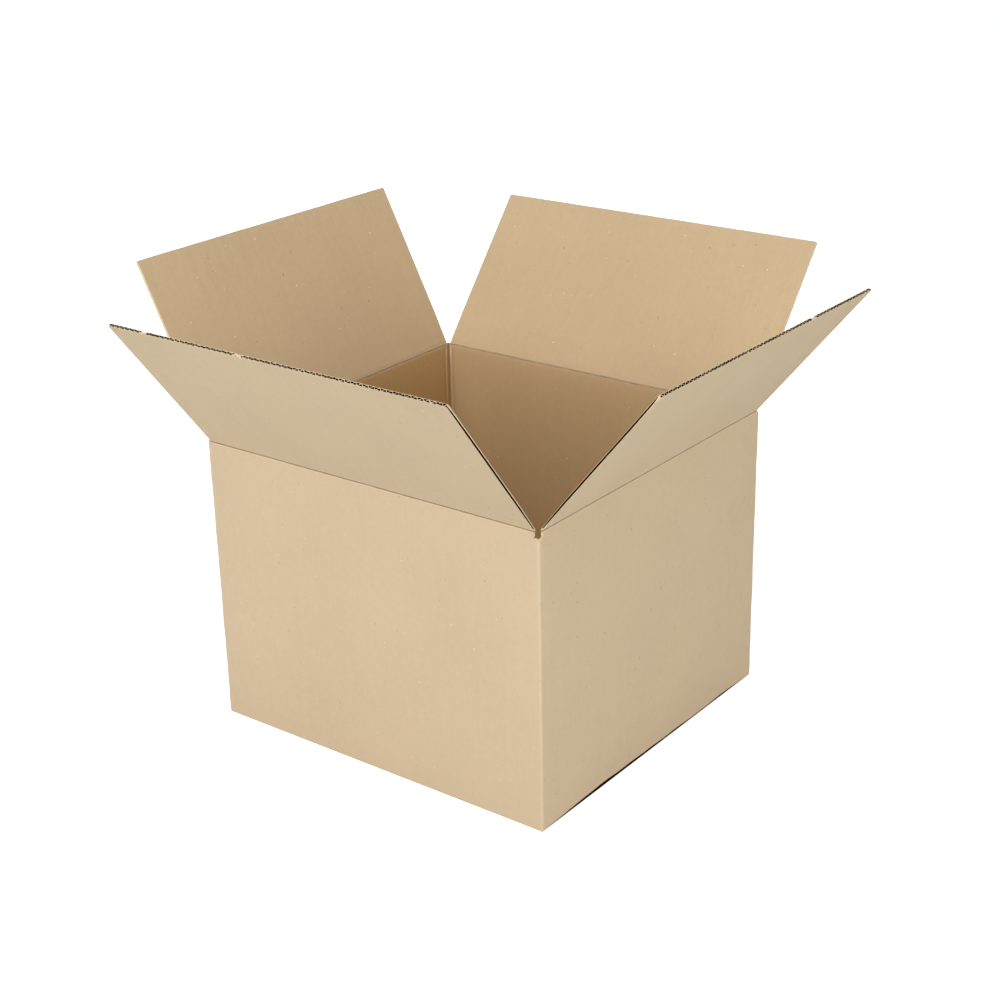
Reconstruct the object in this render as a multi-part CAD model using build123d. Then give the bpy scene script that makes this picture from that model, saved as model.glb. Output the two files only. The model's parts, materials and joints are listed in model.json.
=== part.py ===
"""Regular slotted box of single-wall corrugated board, in millimetres, +Z up.

The real box is one sheet: four walls in a ring, a glued tab at one corner, four bottom flaps folded shut
and four top flaps, here leaning open. The origin is on the floor, under the middle of the box.
Front is -Y, right is +X. The long walls are front and back, the end walls are left and right.
"""
import os
from dataclasses import dataclass
from math import cos, hypot, radians, sin, sqrt

from build123d import *

# Box, measured outside
box_length = 406.0
box_width = 384.0
crease_height = 305.0

# Corrugated board: two liners with a folded medium between them
board = 3.0
liner = 0.25
medium = 0.25
flute_pitch = 6.5
crest_share = 0.2

# Folds
corner_radius = 2.5
bottom_fold_radius = 2.5
end_wall_lift = 1.2
score_band = 8.0

# Slots between neighbouring flaps
slot_clearance = 2.0
slot_run = 5.5

# Gaps that let the flaps turn, lie on each other and meet
crease_gap = 0.25
layer_gap = 0.3
seam_gap = 6.0

# Glued corner
tab_width = 35.0
tab_margin = 4.0
tab_end_taper = 9.0
tab_seam_groove = 0.6

# Lean of each open top flap, in degrees outward from upright
front_lean_angle = 37.8
right_lean_angle = 39.3
back_lean_angle = 39.3
left_lean_angle = 27.1

# Past the surface of whatever a cut goes through
overrun = 1.0

# Worked out from the sizes above
half_length = box_length / 2
half_width = box_width / 2
slot_half = board + slot_clearance
bottom_depth = half_width - seam_gap / 2
inner_floor = 2 * board + layer_gap
long_panel = box_length - 2 * slot_half
end_panel = box_width - 2 * slot_half

# Quarter turns about Z that carry the front to each side
quarter_turn = 90.0
front_turn, right_turn, back_turn, left_turn = (quarter_turn * side for side in range(4))


@dataclass
class Crease:
    """Where a top flap turns and where its board begins, seen along the hinge line.

    outside: how far the hinge line lies outside the wall's outer face.
    height: how high the hinge line lies.
    along: where the flap's outer face begins, measured along the flap from the hinge line.
    inward: how far the flap's outer face lies inside the hinge line.
    """

    outside: float
    height: float
    along: float
    inward: float

    def wall_top(self):
        """Height of the wall's mitre at its outer face, one gap clear of the closed flap's mitre."""
        return self.height - self.outside + self.along - self.inward - sqrt(2) * crease_gap


def long_wall_crease():
    """The long flaps turn at the wall's outer face and close level with the crease."""
    half_gap = crease_gap / 2
    return Crease(half_gap, crease_height, half_gap + crease_gap / sqrt(2), half_gap)


def end_wall_crease(lean):
    """An end flap turns a little below the crease, so that it closes one board under the long flaps.

    At its lean its outer edge stands straight above the hinge line, at the crease.
    """
    drop = (board + layer_gap + crease_gap) / (1 + sin(radians(lean)))
    height = crease_height + crease_gap / 2 - drop
    return Crease(0, height, drop * cos(radians(lean)), drop * sin(radians(lean)))


long_crease = long_wall_crease()
right_crease = end_wall_crease(right_lean_angle)
left_crease = end_wall_crease(left_lean_angle)
flap_reach = half_width + long_crease.outside - long_crease.along - seam_gap / 2


def on_side(shape, turn, distance):
    """Carry a shape made at the front, with its outer face at y = 0, to one side of the box."""
    return Rot(0, 0, turn) * Pos(0, -distance, 0) * shape


def mitre_cutter(length, crease):
    """Space above a wall whose top slopes down and inward at 45 degrees. The wall runs along X."""
    outer_top = crease.wall_top()
    above = crease_height + overrun
    outline = Polyline(
        (0, -overrun, above),
        (0, -overrun, outer_top + overrun),
        (0, slot_half, outer_top - slot_half),
        (0, slot_half, above),
        close=True,
    )
    return Pos(-length / 2, 0, 0) * extrude(make_face(outline), amount=length, dir=(1, 0, 0))


def crease_lip(crease):
    """Round lip along an end wall's outer face, about the hinge line: the flap's edge passes just over it."""
    radius = hypot(crease.along, crease.inward) - crease_gap
    inner_half = Rectangle(radius, 2 * radius, align=(Align.MIN, Align.CENTER))
    half_disc = Circle(radius) & inner_half
    lip = extrude(Plane.YZ * half_disc, amount=end_panel)
    return Pos(-end_panel / 2, 0, crease.height) * lip


def wall_ring():
    """Four walls folded from one strip, with rounded outer corners and tops shaped for the creases."""
    outside = RectangleRounded(box_length, box_width, corner_radius)
    inside = Rectangle(box_length - 2 * board, box_width - 2 * board)
    ring = extrude(outside - inside, amount=crease_height)
    long_cut = mitre_cutter(box_length, long_crease)
    ring -= [on_side(long_cut, turn, half_width) for turn in (front_turn, back_turn)]
    for turn, crease in ((right_turn, right_crease), (left_turn, left_crease)):
        ring -= on_side(mitre_cutter(end_panel, crease), turn, half_length)
        ring += on_side(crease_lip(crease), turn, half_length)
    return ring


def corner_slots():
    """The four slots that part neighbouring top flaps, run on a little below the creases."""
    bottom = crease_height - slot_run
    side = 2 * slot_half
    slot = Box(side, side, slot_run + overrun, align=(Align.CENTER, Align.CENTER, Align.MIN))
    corners = GridLocations(box_length, box_width, 2, 2)
    return [Pos(0, 0, bottom) * corner * slot for corner in corners]


def bottom_flap(length):
    """One bottom flap folded shut, made at the front: it reaches almost to the middle of the box."""
    return Box(length, bottom_depth, board, align=(Align.CENTER, Align.MIN, Align.MIN))


def bottom_fold_cutter():
    """The sliver outside a rounded bottom fold, made at the front."""
    corner = Rectangle(bottom_fold_radius, bottom_fold_radius, align=Align.MIN)
    corner -= Pos(bottom_fold_radius, bottom_fold_radius) * Circle(bottom_fold_radius)
    return Pos(-half_length, 0, 0) * extrude(Plane.YZ * corner, amount=box_length)


def end_lift_cutter():
    """The space under an end wall, made at the front: its fold stands a little above the floor."""
    low_side = (Align.CENTER, Align.MIN, Align.MAX)
    space = Box(end_panel, slot_half + overrun, end_wall_lift + overrun, align=low_side)
    return Pos(0, -overrun, end_wall_lift) * space


def glue_tab():
    """The tab folded from the left wall and glued inside the front wall, with tapered ends."""
    low = inner_floor + tab_margin
    high = crease_height - slot_run - tab_margin
    fold_x = -half_length + board
    edge_x = fold_x + tab_width
    outline = Polyline(
        (fold_x, 0, low),
        (edge_x, 0, low + tab_end_taper),
        (edge_x, 0, high - tab_end_taper),
        (fold_x, 0, high),
        close=True,
    )
    tab = extrude(make_face(outline), amount=board, dir=(0, 1, 0))
    return Pos(0, -half_width + board, 0) * tab


def tab_seam():
    """The fine groove outside, where the front wall's cut edge butts against the fold of the tab."""
    side = tab_seam_groove * sqrt(2)
    upright = (Align.CENTER, Align.CENTER, Align.MIN)
    groove = Box(side, side, crease_height + 2 * overrun, align=upright)
    return Pos(-half_length, -half_width + board, -overrun) * Rot(0, 0, quarter_turn / 2) * groove


def box_body():
    """Walls, glued corner and closed bottom, which stay folded as one piece."""
    outer_flap = bottom_flap(long_panel)
    inner_flap = Pos(0, 0, board + layer_gap) * bottom_flap(end_panel)
    long_sides = [(turn, half_width) for turn in (front_turn, back_turn)]
    end_sides = [(turn, half_length) for turn in (right_turn, left_turn)]
    body = wall_ring() - corner_slots()
    body -= [on_side(end_lift_cutter(), *side) for side in end_sides]
    body += [on_side(outer_flap, *side) for side in long_sides]
    body += [on_side(inner_flap, *side) for side in end_sides]
    body += glue_tab()
    body -= [on_side(bottom_fold_cutter(), *side) for side in long_sides]
    body -= tab_seam()
    return body


def flute_tunnels(pitch, count):
    """Outlines of the tunnels across one flap: each is wide at one liner and narrow at the other.

    Tunnels alternate between the two liners every half pitch, and the first and last are cut open by the
    flap's side edges. The board's outer face is at y = 0.
    """
    web = medium / sqrt(2)
    wide = pitch * (1 - crest_share) / 2 - web
    narrow = pitch * crest_share / 2 - web / 2
    tunnels = []
    for step in range(2 * count + 1):
        middle = (step - count) * pitch / 2
        opens_outward = step % 2 == 0
        wide_y = liner if opens_outward else board - liner
        narrow_y = board - liner - medium if opens_outward else liner + medium
        outline = Polyline(
            (middle - wide, wide_y),
            (middle + wide, wide_y),
            (middle + narrow, narrow_y),
            (middle - narrow, narrow_y),
            close=True,
        )
        tunnels.append(make_face(outline))
    return tunnels


def top_flap(width, crease):
    """One top flap, upright at the front: hinge line along X through the origin, outer face towards -Y.

    The strip beside the crease is pressed shut and mitred. Beyond it the flutes run open to the free edge.
    """
    outer_y = crease.inward
    inner_y = outer_y + board
    strip_outline = Polyline(
        (0, outer_y, crease.along),
        (0, outer_y, score_band),
        (0, inner_y, score_band),
        (0, inner_y, crease.along + board),
        close=True,
    )
    strip = extrude(make_face(strip_outline), amount=width, dir=(1, 0, 0))
    count = round(width / flute_pitch)
    section = Rectangle(width, board, align=(Align.CENTER, Align.MIN)) - flute_tunnels(width / count, count)
    fluted = extrude(section, amount=crease.along + flap_reach - score_band)
    return Pos(-width / 2, 0, 0) * strip + Pos(0, outer_y, score_band) * fluted


def open_flap(flap, crease, lean, turn, distance):
    """Lean a flap outward about its hinge line and carry it to its wall."""
    leaning = Rot(lean, 0, 0) * flap
    return Pos(0, 0, crease.height) * on_side(leaning, turn, distance + crease.outside)


long_flap = top_flap(long_panel, long_crease)
right_flap = top_flap(end_panel, right_crease)
left_flap = top_flap(end_panel, left_crease)

nodes = {
    "box_body": box_body(),
    "front_flap": open_flap(long_flap, long_crease, front_lean_angle, front_turn, half_width),
    "right_flap": open_flap(right_flap, right_crease, right_lean_angle, right_turn, half_length),
    "back_flap": open_flap(long_flap, long_crease, back_lean_angle, back_turn, half_width),
    "left_flap": open_flap(left_flap, left_crease, left_lean_angle, left_turn, half_length),
}

os.makedirs("parts", exist_ok=True)
for name, solid in nodes.items():
    export_step(solid, f"parts/{name}.step")
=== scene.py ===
import json

import bpy
import numpy as np
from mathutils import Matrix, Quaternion, Vector


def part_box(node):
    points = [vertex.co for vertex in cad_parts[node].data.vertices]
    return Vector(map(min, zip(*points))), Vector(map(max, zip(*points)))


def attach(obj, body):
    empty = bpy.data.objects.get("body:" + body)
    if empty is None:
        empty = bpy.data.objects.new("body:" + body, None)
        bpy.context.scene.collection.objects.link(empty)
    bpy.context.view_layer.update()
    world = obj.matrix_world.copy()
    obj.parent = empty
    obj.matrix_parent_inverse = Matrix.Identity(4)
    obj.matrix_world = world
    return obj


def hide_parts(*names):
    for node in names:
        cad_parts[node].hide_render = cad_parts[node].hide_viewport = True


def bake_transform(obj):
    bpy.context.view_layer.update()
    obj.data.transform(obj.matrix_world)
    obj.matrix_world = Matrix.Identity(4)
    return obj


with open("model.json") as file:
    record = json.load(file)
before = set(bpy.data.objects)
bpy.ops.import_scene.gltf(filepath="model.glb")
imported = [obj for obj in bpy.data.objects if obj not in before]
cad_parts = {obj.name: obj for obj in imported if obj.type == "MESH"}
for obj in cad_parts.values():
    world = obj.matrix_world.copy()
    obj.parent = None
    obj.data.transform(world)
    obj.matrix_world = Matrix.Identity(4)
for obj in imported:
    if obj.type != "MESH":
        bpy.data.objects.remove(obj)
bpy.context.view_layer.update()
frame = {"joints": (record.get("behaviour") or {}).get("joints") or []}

# Walls
# The four walls are one strip of brown corrugated board, scored, folded round and glued at one corner.
# Each upright fold is rounded and a little worn outside. Inside it the liner stands up in two ridges.

mm = 0.001
half_length, half_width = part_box("box_body")[1].xy
joint_of = {joint["child"]: joint for joint in frame["joints"]}
crease_height = joint_of["front_flap"]["pos_m"][2]
board = 3.0 * mm

# Slots between the flaps, by corner: front right, back right, back left and front left
slot_depths = np.array([7.5, 3.0, 0.6, 0.3]) * mm
slot_flares = np.array([1.0, 0.3, 0.1, 0.1]) * mm
slot_half = half_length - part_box("front_flap")[1].x
slot_run = 5.5 * mm
post_clearance = 0.5 * mm

# Upright folds, with closer columns of points beside them, and the walls' bow
corner_radius = 2.5 * mm
inner_corner_radius = 0.9 * mm
corner_reach = 12 * mm
corner_columns = 28
middle_columns = 41
arc_columns = 7
fold_drift = 0.22 * mm
fold_drift_reach = 3 * corner_radius
fold_drift_run = 90 * mm
fold_drift_seed = 3
wall_bow = 0.5 * mm
wall_bow_run = 90 * mm

# Bottom fold, rows of points up the walls, and the gap under the end walls
bottom_fold_radius = 1.3 * mm
fold_rows = 7
low_share = 0.9
low_rows = 25
high_rows = 9
end_wall_lift = 2.5 * mm
corner_lift = 0.4 * mm
lift_run = 60 * mm
lift_drift_share = 0.4
lift_drift_run = 600 * mm
lift_seed = 312

# Board pressed beside a score
score_press_share = 0.42
score_press_reach = 7.0 * mm

# Ridges of creased liner inside the corners, and the groove between them. The crests get a painted
# highlight, stronger towards the top, and the groove and the paper beside the ridges get painted shade
ridge_height = 1.0 * mm
ridge_width = 0.75 * mm
long_ridge_place = 2.7 * mm
end_ridge_place = 4.8 * mm
ridge_fade = 12 * mm
ridge_low_share = 0.6
ridge_drift_share = 0.25
ridge_drift_run = 60 * mm
ridge_seed = 5
ridge_lean_share = 0.5
ridge_lean_reach = 7 * mm
ridge_highlight = 0.35
ridge_top_highlight = 0.9
ridge_shade = 0.2
ridge_shade_place = 3 * mm
ridge_shade_width = 1.2 * mm
groove_width = 0.8 * mm
groove_painted_shade = 0.6

# Worn paper on the folds
fold_wear = 0.12
fold_wear_width = 1.4 * mm
fold_wear_drift_share = 0.25
fold_wear_drift_run = 40 * mm
fold_wear_seed = 7
bottom_wear = 0.15
bottom_wear_reach = 2 * mm

# Paper
flute_pitch = 6.5 * mm
# Share of the painted shade, with warm reflected light, that the long walls' inner faces get
long_wall_painted_shade = 0.45
# Strengths of the pale wear with painted highlights, and of the dark scores with painted shade
wear_and_highlight_strength = 0.7
dark_mark_and_shade_strength = 0.9
bump_strength = 0.6
paper_gloss = 0.2
outer_liner_color = (0.690, 0.520, 0.345, 1)
inner_liner_color = (0.590, 0.440, 0.268, 1)
# Tint of the painted shade with warm reflected light on the inner faces
painted_inside_shade_color = (0.98, 0.876, 0.676, 1)
cut_edge_color = (0.780, 0.620, 0.420, 1)
# Tints of the pale wear with painted highlights, and of the dark scores with painted shade
wear_and_highlight_color = (0.95, 0.80, 0.58, 1)
dark_mark_and_shade_tint = (0.24, 0.14, 0.06, 1)
dark_speck_color = (0.14, 0.06, 0.015, 1)
pale_speck_color = (0.90, 0.77, 0.56, 1)


def side_axes(number):
    """Directions along a wall and out of it: the front's, +X and -Y, in quarter turns about Z."""
    turn = number * np.pi / 2
    along = np.array([np.cos(turn), np.sin(turn), 0.0])
    outward = np.array([np.sin(turn), -np.cos(turn), 0.0])
    return along, outward


def side_sizes(number):
    """Half the length of a wall, and how far its outer face lies from the middle of the box."""
    return (half_length, half_width) if number % 2 == 0 else (half_width, half_length)


def smooth_step(value):
    """Rises from 0 to 1 as the value does, level at both ends: three squares less two cubes."""
    value = np.clip(value, 0, 1)
    return value * value * (3 - 2 * value)


def wander(place, longest, seed):
    """Slow irregular drift of about -1 to 1: six sines, ever shorter and weaker, with phases by seed."""
    waves = longest / np.array([1.0, 1.7, 2.9, 4.7, 8.3, 13.9])
    strengths = np.array([0.5, 0.4, 0.32, 0.25, 0.2, 0.15])
    phases = np.random.default_rng(seed).uniform(0, 2 * np.pi, len(waves))
    return np.sin(2 * np.pi * np.asarray(place)[..., None] / waves + phases) @ strengths


def pressed_board(distance):
    """Board thickness beside a score: pressed thin at it, and springing back by an exponential."""
    return board * (1 - score_press_share * np.exp(-np.abs(distance) / score_press_reach))


def wall_loop(inset, radius):
    """Points round the box, counterclockwise from above: four straight runs joined by quarter circles.

    Columns lie close together near the corners, and by equal steps between. Gives the points, their
    outward normals, the distance round the path to the nearest corner, and the numbers of that corner
    and of the side.
    """
    points, normals, from_corner, corner_number, side_number = [], [], [], [], []
    fine = np.linspace(0, corner_reach, corner_columns)[:-1]
    arc = np.linspace(0, np.pi / 2, arc_columns + 2)[1:-1]
    for number in range(4):
        along, outward = side_axes(number)
        run, reach = side_sizes(number)
        reach = reach - inset
        half = run - inset - radius
        middle = np.linspace(corner_reach - half, half - corner_reach, middle_columns)
        straight = np.concatenate([fine - half, middle, half - fine[::-1]])
        points.append(straight[:, None] * along + reach * outward)
        normals.append(np.broadcast_to(outward, (len(straight), 3)))
        from_corner.append(half - np.abs(straight) + radius * np.pi / 4)
        turned = np.sin(arc)[:, None] * along + np.cos(arc)[:, None] * outward
        points.append(half * along + (reach - radius) * outward + radius * turned)
        normals.append(turned)
        from_corner.append(radius * np.abs(arc - np.pi / 4))
        corner_number.append((number - (straight < 0)) % 4)
        corner_number.append(np.full(arc_columns, number))
        side_number.append(np.full(len(straight) + arc_columns, number))
    parts = (points, normals, from_corner, corner_number, side_number)
    return tuple(np.concatenate(part) for part in parts)


def shell(under, over, uv, kinds, wrap=False, light=0.0, dark=0.0, tone=0.0):
    """Closed shell between two grids of points, rows by columns: two faces, and rims along their borders.

    kinds are the material numbers of the under face, the over face and the rims. light, dark and tone are
    the strengths of pale wear with painted highlights, of dark scores with painted shade, and of painted
    shade with warm reflected light inside the box, each as one grid for both faces or as a pair of grids.
    """
    rows, columns = over.shape[:2]
    index = np.arange(rows * columns).reshape(rows, columns)
    if wrap:
        index = np.concatenate([index, index[:, :1]], axis=1)
        loops = [index[0], index[-1, ::-1]]
    else:
        loops = [np.concatenate([index[0], index[1:, -1], index[-1, -2::-1], index[-2::-1, 0]])]
    above = rows * columns
    corners = [index[:-1, :-1], index[:-1, 1:], index[1:, 1:], index[1:, :-1]]
    face = np.stack(corners, axis=-1).reshape(-1, 4)
    rim = np.concatenate(
        [np.stack([loop[:-1], loop[1:], loop[1:] + above, loop[:-1] + above], axis=-1) for loop in loops]
    )
    marks = {}
    for name, mark in (("pale_wear_and_painted_highlight", light), ("painted_shade_and_dark_marks", dark), ("painted_inside_shade", tone)):
        pair = mark if isinstance(mark, tuple) else (mark, mark)
        marks[name] = np.concatenate([np.broadcast_to(grid, (rows, columns)).ravel() for grid in pair])
    return {
        "points": np.concatenate([under.reshape(-1, 3), over.reshape(-1, 3)]),
        "quads": np.concatenate([face[:, ::-1], face + above, rim]),
        "kinds": np.repeat(kinds, [len(face), len(face), len(rim)]),
        "uv": np.concatenate([uv.reshape(-1, 2), uv.reshape(-1, 2)]),
        **marks,
    }


def make_piece(name, shells, materials, sharp_angle=0.6):
    """One mesh object from closed shells, with their board coordinates in metres as its UV map."""
    starts = np.cumsum([0] + [len(part["points"]) for part in shells[:-1]])
    points = np.concatenate([part["points"] for part in shells])
    quads = np.concatenate([part["quads"] + start for part, start in zip(shells, starts)])
    mesh = bpy.data.meshes.new(name)
    mesh.from_pydata(points, [], quads)
    mesh.polygons.foreach_set("material_index", np.concatenate([part["kinds"] for part in shells]))
    uv = np.concatenate([part["uv"] for part in shells])
    mesh.uv_layers.new(name="board").uv.foreach_set("vector", uv[quads.ravel()].ravel())
    for mark in ("pale_wear_and_painted_highlight", "painted_shade_and_dark_marks", "painted_inside_shade"):
        values = np.concatenate([part[mark] for part in shells])
        mesh.attributes.new(mark, "FLOAT", "POINT").data.foreach_set("value", values)
    for material in materials:
        mesh.materials.append(material)
    mesh.shade_smooth()
    mesh.set_sharp_from_angle(angle=sharp_angle)
    piece = bpy.data.objects.new(name, mesh)
    bpy.context.scene.collection.objects.link(piece)
    return piece


def add_node(tree, kind, inputs, **settings):
    """A shader node with its settings, and with its inputs set to values or linked from sockets."""
    node = tree.nodes.new("ShaderNode" + kind)
    for name, value in settings.items():
        setattr(node, name, value)
    for name, value in inputs.items():
        if isinstance(value, bpy.types.NodeSocket):
            tree.links.new(value, node.inputs[name])
        else:
            node.inputs[name].default_value = value
    return node


def math_node(tree, operation, first, second=0.0):
    """One sum, product or other operation of two values."""
    return add_node(tree, "Math", {0: first, 1: second}, operation=operation).outputs[0]


def mix_color(tree, share, base, tint, way="MIX"):
    """Base colour mixed with a tint, or multiplied by it, by a share. The numbers are colour sockets."""
    mixed = add_node(tree, "Mix", {0: share, 6: base, 7: tint}, data_type="RGBA", blend_type=way)
    return mixed.outputs[2]


def new_group(name, inputs, outputs):
    """An empty shader group with its sockets, given as pairs of a label and a socket kind."""
    tree = bpy.data.node_groups.new(name, "ShaderNodeTree")
    for direction, sockets in (("INPUT", inputs), ("OUTPUT", outputs)):
        for label, kind in sockets:
            tree.interface.new_socket(label, in_out=direction, socket_type="NodeSocket" + kind)
    return tree, tree.nodes.new("NodeGroupInput").outputs, tree.nodes.new("NodeGroupOutput").inputs


def paper_mottling_group():
    """Cloudy paper: broad clouds, pulp flocks and short fibres, as noises that shade colour and skin."""
    fibre_share = 0.6
    flock_height = 0.05
    fibre_height = 0.03
    inputs = [("Color", "Color"), ("Vector", "Vector"), ("Amount", "Float")]
    outputs = [("Color", "Color"), ("Roughness", "Float"), ("Height", "Float")]
    tree, given, out = new_group("paper_mottling", inputs, outputs)
    where = given["Vector"]
    clouds = add_node(tree, "TexNoise", {"Vector": where, "Scale": 9.0, "Detail": 3.0})
    flocks = add_node(tree, "TexNoise", {"Vector": where, "Scale": 160.0, "Detail": 4.0, "Roughness": 0.6})
    laid = add_node(tree, "Mapping", {"Vector": where, "Scale": (1.0, 1.0, 3.5)}).outputs[0]
    fibres = add_node(tree, "TexNoise", {"Vector": laid, "Scale": 420.0, "Detail": 3.0, "Roughness": 0.7})
    broad = math_node(tree, "SUBTRACT", clouds.outputs[0], 0.5)
    fine = math_node(tree, "SUBTRACT", flocks.outputs[0], 0.5)
    short = math_node(tree, "SUBTRACT", fibres.outputs[0], 0.5)
    mixed = math_node(tree, "ADD", broad, fine)
    mixed = math_node(tree, "ADD", mixed, math_node(tree, "MULTIPLY", short, fibre_share))
    shade = math_node(tree, "ADD", math_node(tree, "MULTIPLY", mixed, given["Amount"]), 1.0)
    tinted = add_node(tree, "VectorMath", {0: given["Color"], "Scale": shade}, operation="SCALE")
    rough = add_node(tree, "MapRange", {"Value": flocks.outputs[0], "To Min": 0.78, "To Max": 0.96})
    raised = math_node(tree, "MULTIPLY", fine, flock_height)
    height = math_node(tree, "ADD", raised, math_node(tree, "MULTIPLY", short, fibre_height))
    tree.links.new(tinted.outputs[0], out["Color"])
    tree.links.new(rough.outputs[0], out["Roughness"])
    tree.links.new(height, out["Height"])
    return tree


def pulp_specks_group():
    """Stray fibres in the pulp: the few Voronoi cells with a centre near the surface become small dots."""
    sway_reach = 0.7 * mm
    core_share = 0.5
    inputs = [("Color", "Color"), ("Vector", "Vector"), ("Dark", "Float"), ("Pale", "Float")]
    tree, given, out = new_group("pulp_specks", inputs, [("Color", "Color")])
    bent = add_node(tree, "TexNoise", {"Vector": given["Vector"], "Scale": 900.0, "Detail": 1.0})
    sway = add_node(tree, "VectorMath", {0: bent.outputs["Color"], "Scale": sway_reach}, operation="SCALE")
    swayed = add_node(tree, "VectorMath", {0: given["Vector"], 1: sway.outputs[0]}, operation="ADD")
    color = given["Color"]
    # Strength, cells to a metre, largest dot as a share of a cell, stretch, shift and colour
    specks = (
        ("Dark", 112.0, 0.115, (1.0, 1.0, 0.6), (0.0, 0.0, 0.0), dark_speck_color),
        ("Pale", 105.0, 0.120, (0.7, 0.7, 1.0), (0.31, 0.17, 0.43), pale_speck_color),
    )
    for name, scale, size, stretch, shift, tint in specks:
        placed = {"Vector": swayed.outputs[0], "Location": shift, "Scale": stretch}
        laid = add_node(tree, "Mapping", placed).outputs[0]
        cells = add_node(tree, "TexVoronoi", {"Vector": laid, "Scale": scale})
        own = add_node(tree, "SeparateColor", {"Color": cells.outputs["Color"]})
        border = math_node(tree, "MULTIPLY", own.outputs[0], size)
        core = math_node(tree, "MULTIPLY", border, core_share)
        ramp = {"Value": cells.outputs["Distance"], "From Min": border, "From Max": core}
        dot = add_node(tree, "MapRange", ramp, interpolation_type="SMOOTHSTEP").outputs[0]
        share = math_node(tree, "MULTIPLY", math_node(tree, "MULTIPLY", dot, own.outputs[1]), given[name])
        color = mix_color(tree, share, color, tint)
    tree.links.new(color, out["Color"])
    return tree


def flute_lines_group():
    """Flutes showing through the liner: a sine across the board, uneven between flutes and along them."""
    ripple_share = 0.35
    streak_gain = 2.5
    ripple_height = 0.015
    inputs = [("Color", "Color"), ("Vector", "Vector"), ("Amount", "Float")]
    tree, given, out = new_group("flute_lines", inputs, [("Color", "Color"), ("Height", "Float")])
    across = add_node(tree, "SeparateXYZ", {0: given["Vector"]}).outputs[0]
    wave = math_node(tree, "SINE", math_node(tree, "MULTIPLY", across, 2 * np.pi / flute_pitch))
    drawn = add_node(tree, "Mapping", {"Vector": given["Vector"], "Scale": (110.0, 7.0, 1.0)}).outputs[0]
    uneven = add_node(tree, "TexNoise", {"Vector": drawn, "Scale": 1.0, "Detail": 2.0}).outputs[0]
    ripple = math_node(tree, "MULTIPLY", wave, uneven)
    faint = math_node(tree, "MULTIPLY", ripple, ripple_share)
    streaks = math_node(tree, "ADD", faint, math_node(tree, "MULTIPLY", uneven, streak_gain))
    centred = math_node(tree, "SUBTRACT", streaks, streak_gain / 2)
    shade = math_node(tree, "MULTIPLY", centred, given["Amount"])
    level = math_node(tree, "ADD", shade, 1.0)
    tinted = add_node(tree, "VectorMath", {0: given["Color"], "Scale": level}, operation="SCALE")
    tree.links.new(tinted.outputs[0], out["Color"])
    tree.links.new(math_node(tree, "MULTIPLY", ripple, ripple_height), out["Height"])
    return tree


def marks_and_painted_light_group():
    """Painted shade with warm reflected light inside the box, pale wear with painted highlights and dark
    scores with painted shade, by the strengths that the mesh carries.
    """
    inputs = [("Color", "Color"), ("Light", "Float"), ("Dark", "Float")]
    tree, given, out = new_group("marks_and_painted_light", inputs, [("Color", "Color")])
    tone = add_node(tree, "Attribute", {}, attribute_name="painted_inside_shade").outputs["Fac"]
    color = mix_color(tree, tone, given["Color"], painted_inside_shade_color, "MULTIPLY")
    marks = (
        ("pale_wear_and_painted_highlight", "Light", wear_and_highlight_color, "MIX"),
        ("painted_shade_and_dark_marks", "Dark", dark_mark_and_shade_tint, "MULTIPLY"),
    )
    for attribute, strength, tint, way in marks:
        drawn = add_node(tree, "Attribute", {}, attribute_name=attribute).outputs["Fac"]
        share = math_node(tree, "MULTIPLY", drawn, given[strength])
        color = mix_color(tree, share, color, tint, way)
    tree.links.new(color, out["Color"])
    return tree


effects = {
    "mottling": paper_mottling_group(),
    "flutes": flute_lines_group(),
    "specks": pulp_specks_group(),
    "marks": marks_and_painted_light_group(),
}


def paper_material(name, color, mottling, flutes, dark_specks, pale_specks):
    """Unbleached paper: mottled, with the flutes showing faintly, stray fibres, worn folds and scores, and
    painted highlights and painted shade.
    """
    material = bpy.data.materials.new(name)
    material.use_nodes = True
    tree = material.node_tree
    shader = tree.nodes["Principled BSDF"]
    where = add_node(tree, "TexCoord", {})
    objects, across = where.outputs["Object"], where.outputs["UV"]

    def effect(name, **inputs):
        """One of the shared effects, placed in this material with its own values."""
        return add_node(tree, "Group", inputs, node_tree=effects[name]).outputs

    paper = effect("mottling", Color=color, Vector=objects, Amount=mottling)
    lines = effect("flutes", Color=paper["Color"], Vector=across, Amount=flutes)
    specks = effect("specks", Color=lines["Color"], Vector=objects, Dark=dark_specks, Pale=pale_specks)
    marks = effect("marks", Color=specks["Color"], Light=wear_and_highlight_strength, Dark=dark_mark_and_shade_strength)
    tree.links.new(marks["Color"], shader.inputs["Base Color"])
    tree.links.new(paper["Roughness"], shader.inputs["Roughness"])
    height = math_node(tree, "ADD", paper["Height"], lines["Height"])
    bump = add_node(tree, "Bump", {"Height": height, "Strength": bump_strength, "Distance": mm})
    tree.links.new(bump.outputs[0], shader.inputs["Normal"])
    shader.inputs["Specular IOR Level"].default_value = paper_gloss
    return material


outer_paper = {"mottling": 0.10, "flutes": 0.012, "dark_specks": 0.45, "pale_specks": 0.6}
inner_paper = {"mottling": 0.13, "flutes": 0.024, "dark_specks": 0.9, "pale_specks": 0.8}
edge_paper = {"mottling": 0.30, "flutes": 0.0, "dark_specks": 0.4, "pale_specks": 0.3}
outer_liner = paper_material("outer_liner", outer_liner_color, **outer_paper)
inner_liner = paper_material("inner_liner", inner_liner_color, **inner_paper)
cut_edge = paper_material("cut_edge", cut_edge_color, **edge_paper)

# Numbers of a face's material: outer liner, inner liner, cut edge, and the fluted medium with the liners'
# faces inside the flutes, painted near black as the shade in the channels
outside, inside, cut, fluted = range(4)


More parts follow.
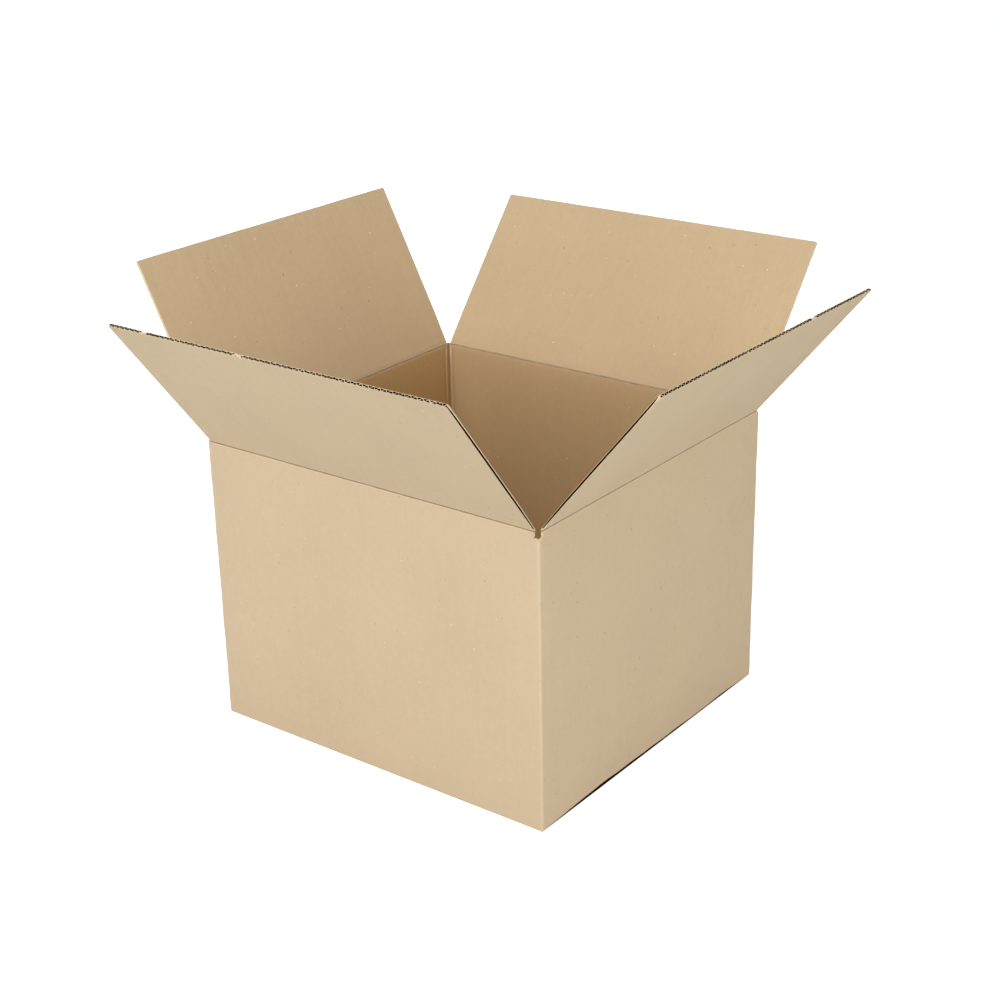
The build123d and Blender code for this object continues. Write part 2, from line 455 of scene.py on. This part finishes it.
def wall_ring():
    """The walls as one ring: an outer grid, turned under at the bottom fold, and an inner grid with ridges.

    Rows go up the walls and columns go round them. The top row lies at the bottom of the creases, and
    between them at the bottoms of the slots. Where a long flap closes over it, the inner face ends lower.
    Towards the top the inner face comes nearer to the outer one, as the board is pressed there.
    """
    outer, outer_normal, outer_from, corner, side = wall_loop(0.0, corner_radius)
    inner, inner_normal, inner_from, _, _ = wall_loop(board, inner_corner_radius)
    on_end = side % 2 == 1
    steps = np.linalg.norm(np.diff(outer, axis=0, prepend=outer[:1]), axis=1)

    # Heights of the rows, from the bottom fold to the slots and creases
    turn = np.linspace(0, np.pi / 2, fold_rows)
    low = np.linspace(0, low_share, low_rows)
    high = np.linspace(low_share, 1, high_rows)
    climb = np.concatenate([low[1:], high[1:]])
    widened = np.where(slot_depths > slot_run, slot_flares, -post_clearance)
    slot_reach = slot_half - corner_radius * (1 - np.pi / 4) + widened[corner]
    top = crease_height - np.where(outer_from < slot_reach, slot_depths[corner], slot_run)
    uneven = 1 + lift_drift_share * wander(outer[:, 1], lift_drift_run, lift_seed)
    rise = corner_lift + (end_wall_lift * uneven - corner_lift) * smooth_step(outer_from / lift_run)
    foot = np.where(on_end, rise, 0.0)
    inset = np.concatenate([bottom_fold_radius * (1 - np.sin(turn)), 0 * climb])[:, None]
    fold_height = foot + (bottom_fold_radius * (1 - np.cos(turn)))[:, None]
    start = foot + bottom_fold_radius
    height = np.concatenate([fold_height, start + climb[:, None] * (top - start)])
    post_reach = slot_half - post_clearance - board - inner_corner_radius * (1 - np.pi / 4)
    under_flap = ~on_end & (inner_from > post_reach)
    inner_top = np.where(under_flap, np.minimum(top, crease_height - slot_run), top)
    inner_height = np.concatenate([fold_height, start + climb[:, None] * (inner_top - start)])
    below = crease_height - height

    # Outer face, with drifting folds and a bow
    near_fold = np.exp(-((outer_from / fold_drift_reach) ** 2))
    drift = fold_drift * wander(height, fold_drift_run, fold_drift_seed) * near_fold
    bow = wall_bow * np.sin(np.pi * np.clip(height / crease_height, 0, 1))
    bow = bow * smooth_step(outer_from / wall_bow_run) * np.where(on_end, 1, -1)
    over = outer + outer_normal * (drift + bow - inset)[..., None]
    over[..., 2] = height

    # Inner face, with its ridges
    fade = np.exp(-below / ridge_fade)
    lean_in = 1 - ridge_lean_share * np.exp(-below / ridge_lean_reach)
    from_ridge = inner_from - np.where(on_end, end_ridge_place, long_ridge_place) * lean_in
    profile = np.exp(-((from_ridge / ridge_width) ** 2))
    ridge = ridge_height * profile * (ridge_low_share + (1 - ridge_low_share) * fade)
    ridge = ridge * (1 + ridge_drift_share * wander(height, ridge_drift_run, ridge_seed))
    under = inner + inner_normal * (board - pressed_board(below) - ridge + bow)[..., None]
    under[..., 2] = inner_height

    # Marks: pale wear on the folds and along the bottom, a painted highlight on the ridge crests, and
    # painted shade in the corner groove and beside the ridges
    worn = 1 + fold_wear_drift_share * (wander(height, fold_wear_drift_run, fold_wear_seed) - 1)
    wear = fold_wear * np.exp(-((outer_from / fold_wear_width) ** 2)) * worn
    wear = np.maximum(wear, bottom_wear * np.exp(-(height - foot) / bottom_wear_reach))
    crest_highlight = profile * (ridge_highlight + ridge_top_highlight * fade)
    groove = groove_painted_shade * np.exp(-((inner_from / groove_width) ** 2))
    groove = groove + ridge_shade * np.exp(-(((from_ridge - ridge_shade_place) / ridge_shade_width) ** 2))
    uv = np.stack([np.broadcast_to(np.cumsum(steps), height.shape), height], axis=-1)
    # Painted shade with warm reflected light on the inner face: full on the end walls, a share on the long
    # walls
    tone = np.where(on_end, 1.0, long_wall_painted_shade)
    marks = {"light": (crest_highlight, wear), "dark": (groove, 0.0), "tone": (tone, 0.0)}
    ring = shell(under, over, uv, (inside, outside, cut), wrap=True, **marks)
    return make_piece("wall_ring", [ring], [outer_liner, inner_liner, cut_edge])


walls = wall_ring()
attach(walls, "box")
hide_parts("box_body")


# Closed bottom
# Four flaps folded shut under the box: those on the end walls lie inside, those on the long walls outside.
# They are plain board with its flutes open at the free edges, and the outer pair meets at a seam.
# The knife spreads the paper of liners and medium a little where it cuts the board.

liner = 0.25 * mm
medium = 0.25 * mm
liner_burr = 0.06 * mm
medium_burr = 0.16 * mm
rim_tone = 0.2
flute_steepness = 1.7
burr_reach = 0.8 * mm
liner_columns = 4
medium_columns = 12
run_rows = 6
up = np.array([0.0, 0.0, 1.0])
# Rows of points beside a cut, by their distance from it
edge_rows = np.array([9.0, 5.0, 3.0, 1.6, 0.8, 0.3, 0.0]) * mm
layer_gap = 0.3 * mm
seam_gap = 6.0 * mm
seam_drift = 0.3 * mm
seam_drift_run = 150 * mm
sides = ("front", "right", "back", "left")
# The paper inside the flutes is painted near black and without gloss, as painted shade in the channels; the
# medium's own colour shows only on its cut rims
flute_shade_color = (0.048, 0.013, 0.001, 1)
flute_shade_paper = {"mottling": 0.20, "flutes": 0.0, "dark_specks": 0.0, "pale_specks": 0.0}
flute_channel_shade = paper_material("flute_channel_shade", flute_shade_color, **flute_shade_paper)
flute_channel_shade.node_tree.nodes["Principled BSDF"].inputs["Specular IOR Level"].default_value = 0.0
board_materials = [outer_liner, inner_liner, cut_edge, flute_channel_shade]


def plain_cut(s, u, at_end, at_side):
    """How much a clean cut thickens the medium: by one burr at the free edge, and not at the sides."""
    return medium_burr * at_end


def board_shells(half_run, begin, end, thickness, place, spread=plain_cut, phase=0.0):
    """A piece of board as three closed shells: outer liner, fluted medium and inner liner.

    s runs across the flutes, u along them and v through the board, from its outer face. begin and end give
    u at the two cut ends as functions of s, thickness gives the board's thickness at s and u, and place
    turns s, u and v into points. The medium is a cosine across the board, steepened by a hyperbolic
    tangent, with a whole number of flutes, and phase says where on it the sides are cut. Through the board
    it is as much thicker as its slope asks. Towards the cuts the paper thickens by exponentials, at_end
    and at_side: the liners by their burr, and the medium by spread.
    """

    def grids(columns):
        """Rows by equal steps along the flutes, and closer ones up to the cut, with what goes by place."""
        s = np.linspace(-half_run, half_run, columns)
        first, last = begin(s), end(s)
        share = np.linspace(0, 1, run_rows)[:-1, None]
        run = first + share * (last - edge_rows[0] - first)
        u = np.concatenate([run, last - edge_rows[:, None]])
        s = np.broadcast_to(s, u.shape)
        at_end = np.exp((u - last) / burr_reach)
        at_side = np.exp((np.abs(s) - half_run) / burr_reach)
        return s, u, thickness(s, u), at_end, at_side, np.stack([s, u], axis=-1)

    # Liners
    flutes = round(2 * half_run / flute_pitch)
    s, u, full, at_end, at_side, uv = grids(liner_columns * flutes + 1)
    paper = liner + liner_burr * at_end
    # Each liner's face towards the medium takes the flute paper, painted dark as shade
    outer = shell(place(s, u, 0 * s), place(s, u, paper), uv, (outside, fluted, cut))
    inner = shell(place(s, u, full - paper), place(s, u, full), uv, (fluted, inside, cut))

    # Medium
    s, u, full, at_end, at_side, uv = grids(medium_columns * flutes + 1)
    paper = liner + liner_burr * at_end
    web = np.minimum(medium + spread(s, u, at_end, at_side), full - 2 * paper)
    turns = np.pi * flutes * (s / half_run + 1) + phase
    steep = np.tanh(flute_steepness * np.cos(turns)) / np.tanh(flute_steepness)
    bend = flute_steepness * np.sin(turns) / np.cosh(flute_steepness * np.cos(turns)) ** 2
    slope = bend / np.tanh(flute_steepness) * (full / 2 - paper) * 2 * np.pi / flute_pitch
    through = np.minimum(web * np.hypot(1, slope), full - 2 * paper)
    middle = full / 2 + (full / 2 - paper - through / 2) * steep
    faces = place(s, u, middle - through / 2), place(s, u, middle + through / 2)
    # The medium is painted dark as shade inside the flutes, and it darkens a little more towards the free
    # edge
    wave = shell(*faces, uv, (fluted, fluted, cut), dark=rim_tone * at_end)
    return [outer, wave, inner]


def flat_board(s, u):
    """Thickness of board that nothing has pressed."""
    return board + 0 * s


def bottom_flap(name, number, half_run, reach, raised):
    """One closed bottom flap: from its wall's inner face almost to the middle of the box."""
    along, outward = side_axes(number)

    def place(s, u, v):
        """Across the flap goes along the wall, along it goes inward, and through it goes up."""
        level = s[..., None] * along + (reach - u)[..., None] * outward
        return level + (raised + v)[..., None] * up

    def begin(s):
        """The wall's inner face."""
        return board + 0 * s

    def end(s):
        """Half a seam short of the middle, with a slow drift."""
        return half_width - seam_gap / 2 + seam_drift * wander(s, seam_drift_run, len(name))

    flap = make_piece(name, board_shells(half_run, begin, end, flat_board, place), board_materials)
    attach(flap, "box")


for number, side in enumerate(sides):
    run, reach = side_sizes(number)
    raised = 0.0 if number % 2 == 0 else board + layer_gap
    bottom_flap(side + "_bottom_flap", number, run - slot_half, reach, raised)


# Glue tab
# The left wall's board runs on round the front corner as a tab, glued flat inside the front wall.
# Its ends are cut on a slant, so that the open flutes show there.

tab_width = 35 * mm
tab_margin = 4 * mm
tab_taper = 9 * mm
tab_low = 2 * board + layer_gap + tab_margin
tab_high = crease_height - slot_run - tab_margin
tab_gap = 0.1 * mm


def tab_share(s):
    """How far a place across the tab lies from the fold, as a share of its width."""
    return 0.5 - s / tab_width


def tab_place(s, u, v):
    """Across the tab goes towards -X, along it goes up. Its outer face lies on the front wall inside."""
    x = -half_length + board + tab_width / 2 - s
    return np.stack([x, -half_width + board + tab_gap + v, u], axis=-1)


glue_tab = make_piece(
    "glue_tab",
    board_shells(
        tab_width / 2,
        lambda s: tab_low + tab_taper * tab_share(s),
        lambda s: tab_high - tab_taper * tab_share(s),
        flat_board,
        tab_place,
    ),
    board_materials,
)
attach(glue_tab, "box")


# Top creases
# The board goes on from each wall into its top flap through a score, where it is pressed thin and bends.
# Outside the score is a fine dark line, partly crushed fibre and partly painted shade, with a faint painted
# highlight just below it. Inside it is a torn, dented line, darkened the same way, with a painted highlight
# beside it.

crease_end = 2.2 * mm
fine_start = -3.2 * mm
coarse_rows = 5
fine_rows = 41
strip_columns = 161
flare_start = 0.4 * mm
flare_run = 1.5 * mm
bend_half = 1.5 * mm
end_bend_half = 2.0 * mm
round_off = 1.6 * mm

# Score lines, outside and inside, darkened partly as crushed fibre and partly as painted shade, and the
# painted highlights beside them
outer_groove = 0.35 * mm
outer_groove_width = 0.45 * mm
inner_groove = 0.3 * mm
inner_groove_width = 0.45 * mm
inner_score = -1.6 * mm
inner_dark = 0.6
inner_highlight = 0.25
inner_light_offset = 1.4 * mm
inner_light_width = 0.6 * mm
outer_dark_width = 0.72 * mm
outer_dark_share = 0.6
outer_highlight = 0.3
outer_light_place = -1.3 * mm
outer_light_width = 0.6 * mm
score_drift = 0.12 * mm
score_drift_run = 120 * mm
score_torn_share = 0.3
score_torn_run = 35 * mm


def crease_strip(name, number, half_run, reach, lean, flares, wall_painted_shade):
    """The strip of board round one crease: a ladder of outer and inner points carried along it.

    q is the distance along the outer face from the crease, down the wall or up the flap. The inner point
    lies one pressed board inside the outer one, along a normal that turns with the lean. Both dip at the
    score. Below the crease the ends draw back by their flares, so that the slots are widest there.
    """
    along, outward = side_axes(number)
    coarse = np.linspace(-slot_run, fine_start, coarse_rows)[:-1]
    q = np.concatenate([coarse, np.linspace(fine_start, crease_end, fine_rows)])[:, None]
    share = np.linspace(1, -1, strip_columns)
    flare = np.where(share > 0, flares[1], flares[0])
    ends = half_run - flare * smooth_step((-q - flare_start) / flare_run)
    s = ends * share
    bent = lean * smooth_step(0.5 + 0.5 * (q - inner_score / 2) / round_off)
    inward = np.cos(bent)[..., None] * -outward + np.sin(bent)[..., None] * up
    climb = np.sin(lean) * outward + np.cos(lean) * up
    on_wall = np.minimum(q, 0)[..., None] * up
    on_flap = np.maximum(q, 0)[..., None] * climb
    spine = reach * outward + crease_height * up + on_wall + on_flap

    # Both faces, dented along the score
    line = score_drift * wander(s, score_drift_run, len(name))
    torn = 1 + score_torn_share * (wander(s, score_torn_run, len(name) + 4) - 1)
    dent = outer_groove * np.exp(-(((q - line) / outer_groove_width) ** 2))
    score = np.exp(-(((q - inner_score - 2 * line) / inner_groove_width) ** 2)) * torn
    across = s[..., None] * along
    under = spine + across + inward * dent[..., None]
    over = spine + across + inward * (pressed_board(q) - inner_groove * score)[..., None]
    uv = np.stack([s, q + 0 * s], axis=-1)

    # Marks: the dark score lines, partly crushed fibre and partly painted shade, the painted highlights
    # beside them, and painted shade with warm reflected light on the inner face, growing down the wall
    drawn = outer_dark_share + (1 - outer_dark_share) * torn
    dark = np.exp(-(((q - line) / outer_dark_width) ** 2)) * drawn
    beside_score = (q - inner_score - inner_light_offset) / inner_light_width
    paler = inner_highlight * np.exp(-(beside_score**2)) * torn
    pale = outer_highlight * np.exp(-(((q - outer_light_place) / outer_light_width) ** 2)) + 0 * s
    tone = wall_painted_shade * smooth_step((inner_score - q) / (slot_run + inner_score)) + 0 * s
    marks = {"light": (pale, paler), "dark": (dark, inner_dark * score), "tone": (0.0, tone)}
    bent_board = shell(under, over, uv, (outside, inside, cut), **marks)
    strip = make_piece(name, [bent_board], [outer_liner, inner_liner, cut_edge])
    return strip, outward * np.sin(lean / 2) + up * np.cos(lean / 2)


leans = {}
for number, side in enumerate(sides):
    joint = joint_of[side + "_flap"]
    # To close, a flap turns by its lean and a right angle
    lean = leans[side] = np.radians(-90 - joint["range_deg"][0])
    run, reach = side_sizes(number)
    half_bend = bend_half if number % 2 == 0 else end_bend_half
    flares = slot_flares[[number - 1, number]]
    # The crease's inner face takes the same painted shade as its wall
    wall_painted_shade = long_wall_painted_shade if number % 2 == 0 else 1.0
    strip, climb = crease_strip(side + "_crease", number, run - slot_half, reach, lean, flares, wall_painted_shade)
    hinge = np.array(joint["pos_m"])
    bend_start, bend_end = hinge - half_bend * climb, hinge + half_bend * climb
    tuple(bend_start)
    tuple(bend_end)
    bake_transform(strip)


# Top flaps
# Each top flap is a panel of the same board. Its free edge shows the open flutes between the two liners.
# The front flap's sides show one open flute lengthwise, the right flap's were cut part of the way up a
# flute, and the others are pinched shut. Free edges are crushed here and there, and corners are blunt.

side_phases = {"front": 0.0, "right": 0.68 * np.pi, "back": np.pi / 2, "left": np.pi / 2}
side_pinches = {"front": 0.3 * mm, "right": 0.15 * mm, "back": 1.4 * mm, "left": 1.4 * mm}
corner_pinch = 1.0 * mm
corner_pinch_reach = 8 * mm
corner_blunt = 1.6 * mm
corner_blunt_share = 0.96
near_crush_share = 0.28
far_crush_share = 0.12
crush_run = 110 * mm
crush_level = 0.9
crush_steepness = 3.0
torn_share = 0.8
torn_run = 70 * mm
edge_crush_reach = 3.0 * mm
edge_drift = 0.2 * mm
edge_drift_run = 90 * mm
pinch_drift_share = 0.35
pinch_drift_run = 50 * mm


def top_flap(side, number, half_run, reach):
    """One top flap, leaning as its hinge says, from the end of its crease strip to its free edge."""
    crush_share = near_crush_share if number < 2 else far_crush_share
    along, outward = side_axes(number)
    lean = leans[side]
    climb = np.sin(lean) * outward + np.cos(lean) * up
    inward = np.sin(lean) * up - np.cos(lean) * outward
    foot = reach * outward + crease_height * up
    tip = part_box(side + "_flap")[1].z
    length = (tip - crease_height - board * np.sin(lean)) / np.cos(lean)
    seed = 10 * (number + 4)

    def place(s, u, v):
        """Across the flap goes along the wall, along it climbs the lean, and through it goes inward."""
        return foot - s[..., None] * along + u[..., None] * climb + v[..., None] * inward

    def begin(s):
        """Where the crease strip ends."""
        return crease_end + 0 * s

    def end(s):
        """The free edge, with a slow drift, and with corners cut back along part of a circle."""
        spare = np.clip(1 - (half_run - np.abs(s)) / corner_blunt, 0, 1)
        blunt = corner_blunt * (1 - np.sqrt(1 - corner_blunt_share * spare**2))
        return length - blunt - edge_drift * (1 + wander(s, edge_drift_run, seed)) / 2

    def crushed(s):
        """Where the free edge is crushed: a smooth step on the high stretches of a slow drift."""
        return smooth_step(crush_steepness * (wander(s, crush_run, seed + 1) - crush_level))

    def thickness(s, u):
        """Board pressed beside the score, and thinner by an exponential to the crushed stretches."""
        return pressed_board(u) * (1 - crush_share * crushed(s) * np.exp((u - end(s)) / edge_crush_reach))

    def spread(s, u, at_end, at_side):
        """Extra paper at the cuts: an uneven burr, crushed flutes, and ragged sides, most at corners."""
        torn = np.clip(1 + torn_share * wander(s, torn_run, seed + 2), 0, 2)
        edge = medium_burr * torn + crushed(s) * board
        ragged = 1 + pinch_drift_share * wander(u, pinch_drift_run, seed + 3)
        near_corner = np.exp((u - end(s)) / corner_pinch_reach)
        return edge * at_end + (side_pinches[side] * ragged + corner_pinch * near_corner) * at_side

    shells = board_shells(half_run, begin, end, thickness, place, spread, side_phases[side])
    flap = make_piece(side + "_top_flap", shells, board_materials)
    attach(flap, side + "_flap")
    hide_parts(side + "_flap")


for number, side in enumerate(sides):
    run, reach = side_sizes(number)
    top_flap(side, number, run - slot_half, reach)


# Studio
# A plain pale floor under a white backdrop, four large soft lamps and an even white surround.
# The floor is lifted towards white for the camera alone, and keeps the box's soft shadow. Under the box,
# where hardly any light comes in, it isn't lifted, and it is painted dark brown as a contact shadow.

floor_half = 12.0
floor_color = (0.73, 0.81, 0.83, 1)
painted_contact_shadow_color = (0.045, 0.020, 0.005, 1)
floor_lift = 0.70
shade_inset = 0.6 * mm
shade_edge = 0.4 * mm

floor_mesh = bpy.data.meshes.new("floor")
quarters = ((-1, -1), (1, -1), (1, 1), (-1, 1))
floor_corners = [(x * floor_half, y * floor_half, 0) for x, y in quarters]
floor_mesh.from_pydata(floor_corners, [], [(0, 1, 2, 3)])
floor = bpy.data.objects.new("floor", floor_mesh)
bpy.context.scene.collection.objects.link(floor)
floor_paint = bpy.data.materials.new("pale_floor")
floor_paint.use_nodes = True
paint = floor_paint.node_tree
matt = paint.nodes["Principled BSDF"].inputs
matt["Roughness"].default_value = 1.0
matt["Specular IOR Level"].default_value = 0.0
seen = add_node(paint, "LightPath", {}).outputs["Is Camera Ray"]
matt["Emission Color"].default_value = (1, 1, 1, 1)
spot = add_node(paint, "SeparateXYZ", {0: add_node(paint, "TexCoord", {}).outputs["Object"]})
past_end = math_node(paint, "SUBTRACT", math_node(paint, "ABSOLUTE", spot.outputs[0]), half_length)
past_long = math_node(paint, "SUBTRACT", math_node(paint, "ABSOLUTE", spot.outputs[1]), half_width)
past_walls = math_node(paint, "MAXIMUM", past_end, past_long)
ramp = {"Value": past_walls, "From Min": -shade_inset - shade_edge, "From Max": -shade_inset}
open_floor = add_node(paint, "MapRange", ramp).outputs[0]
# Painted shadow: inside the box's outline the floor's colour turns dark brown
shaded = mix_color(paint, open_floor, painted_contact_shadow_color, floor_color)
paint.links.new(shaded, matt["Base Color"])
lift = math_node(paint, "MULTIPLY", math_node(paint, "MULTIPLY", seen, floor_lift), open_floor)
paint.links.new(lift, matt["Emission Strength"])
floor_mesh.materials.append(floor_paint)

surround_level = 0.42
world = bpy.data.worlds.new("studio_surround")
world.use_nodes = True
bpy.context.scene.world = world
sky = world.node_tree
seen = add_node(sky, "LightPath", {}).outputs["Is Camera Ray"]
glow = math_node(sky, "MAXIMUM", seen, surround_level)
sky.nodes["Background"].inputs["Color"].default_value = (1, 1, 1, 1)
sky.links.new(glow, sky.nodes["Background"].inputs["Strength"])


def soft_lamp(name, place, aim, size, power):
    """A square soft lamp at a place, facing an aim."""
    data = bpy.data.lights.new(name, "AREA")
    data.size = size
    data.energy = power
    lamp = bpy.data.objects.new(name, data)
    lamp.location = place
    lamp.rotation_mode = "QUATERNION"
    lamp.rotation_quaternion = (Vector(aim) - Vector(place)).to_track_quat("-Z", "Y")
    bpy.context.scene.collection.objects.link(lamp)


box_middle = (0, 0, crease_height / 2)
soft_lamp("front_lamp", (0.1, -2.75, 1.8), box_middle, size=1.6, power=46)
soft_lamp("right_lamp", (2.8, -0.4, 0.9), box_middle, size=1.2, power=20.5)
soft_lamp("top_lamp", (0.2, -0.4, 2.8), box_middle, size=1.6, power=18)
soft_lamp("back_lamp", (-2.2, 2.4, 1.3), box_middle, size=1.6, power=16)


# Camera
# A long lens looking down over the near corner of the box, tipped slightly to one side.

camera_place = Vector((1.0822, -1.3949, 0.9546))
camera_aim = Vector((0.0040, 0.0130, 0.2190))
camera_roll = np.radians(-1.186)
camera_lens = 67.22

camera_data = bpy.data.cameras.new("camera")
camera_data.lens = camera_lens
camera = bpy.data.objects.new("camera", camera_data)
camera.location = camera_place
camera.rotation_mode = "QUATERNION"
facing = (camera_aim - camera_place).to_track_quat("-Z", "Y")
camera.rotation_quaternion = facing @ Quaternion((0, 0, 1), camera_roll)
bpy.context.scene.collection.objects.link(camera)
bpy.context.scene.camera = camera
bpy.context.scene.view_settings.view_transform = "Standard"
